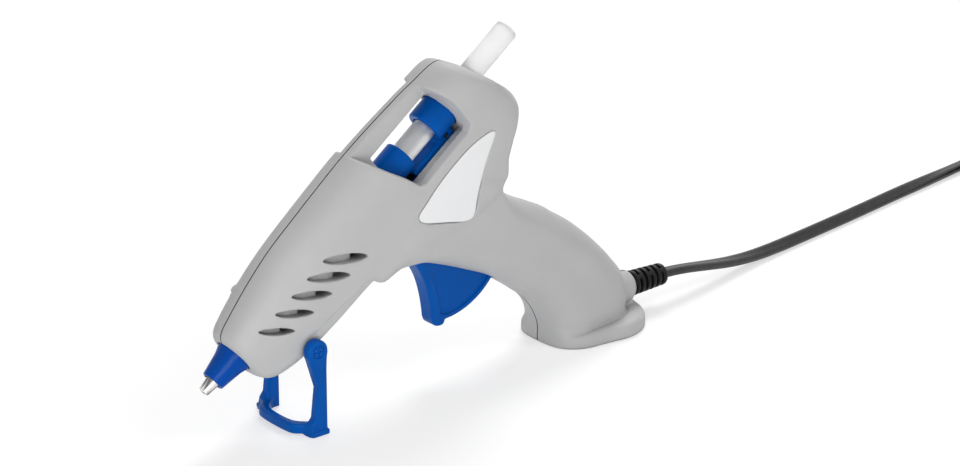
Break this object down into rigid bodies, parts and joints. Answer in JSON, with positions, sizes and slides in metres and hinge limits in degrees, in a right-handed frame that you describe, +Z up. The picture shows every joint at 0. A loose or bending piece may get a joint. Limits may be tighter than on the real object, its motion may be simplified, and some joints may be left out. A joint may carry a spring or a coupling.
{
  "type": "hot glue gun",
  "caption": "Corded hot glue gun on its fold-out stand: grey shell, blue trigger with feed carriage, clear glue stick, heated nozzle and mains cord.",
  "frame": {"origin": "on the surface it stands on, under the middle of the gun's box, measured without the free cord, its coil, tie and plug", "axes": "+X towards the cord, with the nozzle at -X; +Y to the half that holds the screw heads; +Z up"},
  "size_m": [0.679, 0.1168, 0.1693],
  "materials": {
    "housing": "fine moulded grain, satin light grey",
    "label": "smooth pale plate, bare of any marking",
    "screws": "zinc plated",
    "cord_rubber": "smooth black PVC jacket",
    "clamp": "plain moulded",
    "brass": "plain",
    "live": "brown insulation",
    "neutral": "blue insulation",
    "nozzle": "turned, polished, lightly stained by heat",
    "sleeve": "satin dark blue heat-proof nylon",
    "chamber": "die cast",
    "film": "amber insulating film",
    "ceramic": "sintered ceramic with silvered faces",
    "spring_steel": "plain",
    "silicone": "translucent red-brown silicone",
    "feed_blue": "satin cobalt blue",
    "trigger_blue": "satin cobalt blue",
    "stand_blue": "satin cobalt blue",
    "glue": "milky translucent hot-melt",
    "plug_rubber": "moulded black",
    "tie": "plastic-coated twist tie"
  },
  "bodies": {
    "gun": {"left_shell": "housing", "right_shell": "housing", "label_plate_left": "label", "label_plate_right": "label", "housing_screw_1": "screws", "housing_screw_2": "screws", "housing_screw_3": "screws", "housing_screw_4": "screws", "housing_screw_5": "screws", "housing_screw_6": "screws", "housing_screw_7": "screws", "strain_relief": "cord_rubber", "cord_tail": "cord_rubber", "cord_clamp": "clamp", "cord_clamp_screw_1": "screws", "cord_clamp_screw_2": "screws", "live_crimp": "brass", "neutral_crimp": "brass", "live_lead": "live", "neutral_lead": "neutral", "nozzle": "nozzle", "nozzle_sleeve": "sleeve", "melt_chamber": "chamber", "heater_film": "film", "heater_tablet": "ceramic", "contact_plate_upper": "brass", "contact_plate_lower": "brass", "heater_clip": "spring_steel", "inlet_sleeve": "silicone", "sleeve_clamp": "spring_steel", "inlet_collar": "feed_blue", "return_spring": "spring_steel", "trigger_pin": "spring_steel", "plug_body": "plug_rubber", "plug_pin_1": "brass", "plug_pin_2": "brass", "mains_cord": "cord_rubber", "cord_coil": "cord_rubber", "cord_tie": "tie"},
    "trigger_unit": {"trigger": "trigger_blue"},
    "carriage": {"feed_carriage": "feed_blue", "drive_pin": "spring_steel", "jaw_pin": "spring_steel"},
    "jaw": {"clamp_jaw": "feed_blue"},
    "stick": {"glue_stick": "glue"},
    "stand_unit": {"stand": "stand_blue"}
  },
  "joints": [
    {"name": "trigger_hinge", "type": "hinge", "parent": "gun", "child": "trigger_unit", "pos_m": [-0.00509, 0, 0.0684], "axis": [0, -1, 0], "range_deg": [0, 26.4], "stiffness_Nm_per_rad": 0.35, "springref_deg": -20.05},
    {"name": "carriage_slide", "type": "slide", "parent": "gun", "child": "carriage", "axis": [-0.791, 0, -0.6118], "range_m": [0, 0.014], "deforming": ["return_spring"]},
    {"name": "jaw_hinge", "type": "hinge", "parent": "carriage", "child": "jaw", "pos_m": [-0.00213, 0, 0.12172], "axis": [0, 1, 0], "range_deg": [0, 6]},
    {"name": "stick_slide", "type": "slide", "parent": "carriage", "child": "stick", "axis": [0.791, 0, 0.6118], "range_m": [0, 0.105]},
    {"name": "stand_hinge", "type": "hinge", "parent": "gun", "child": "stand_unit", "pos_m": [-0.08979, 0, 0.0415], "axis": [0, -1, 0], "range_deg": [0, 118]}
  ],
  "couplings": [
    {"joint": "trigger_hinge", "follows": "carriage_slide", "rad_per_m": 32.91},
    {"joint": "jaw_hinge", "follows": "carriage_slide", "rad_per_m": 7.479}
  ]
}
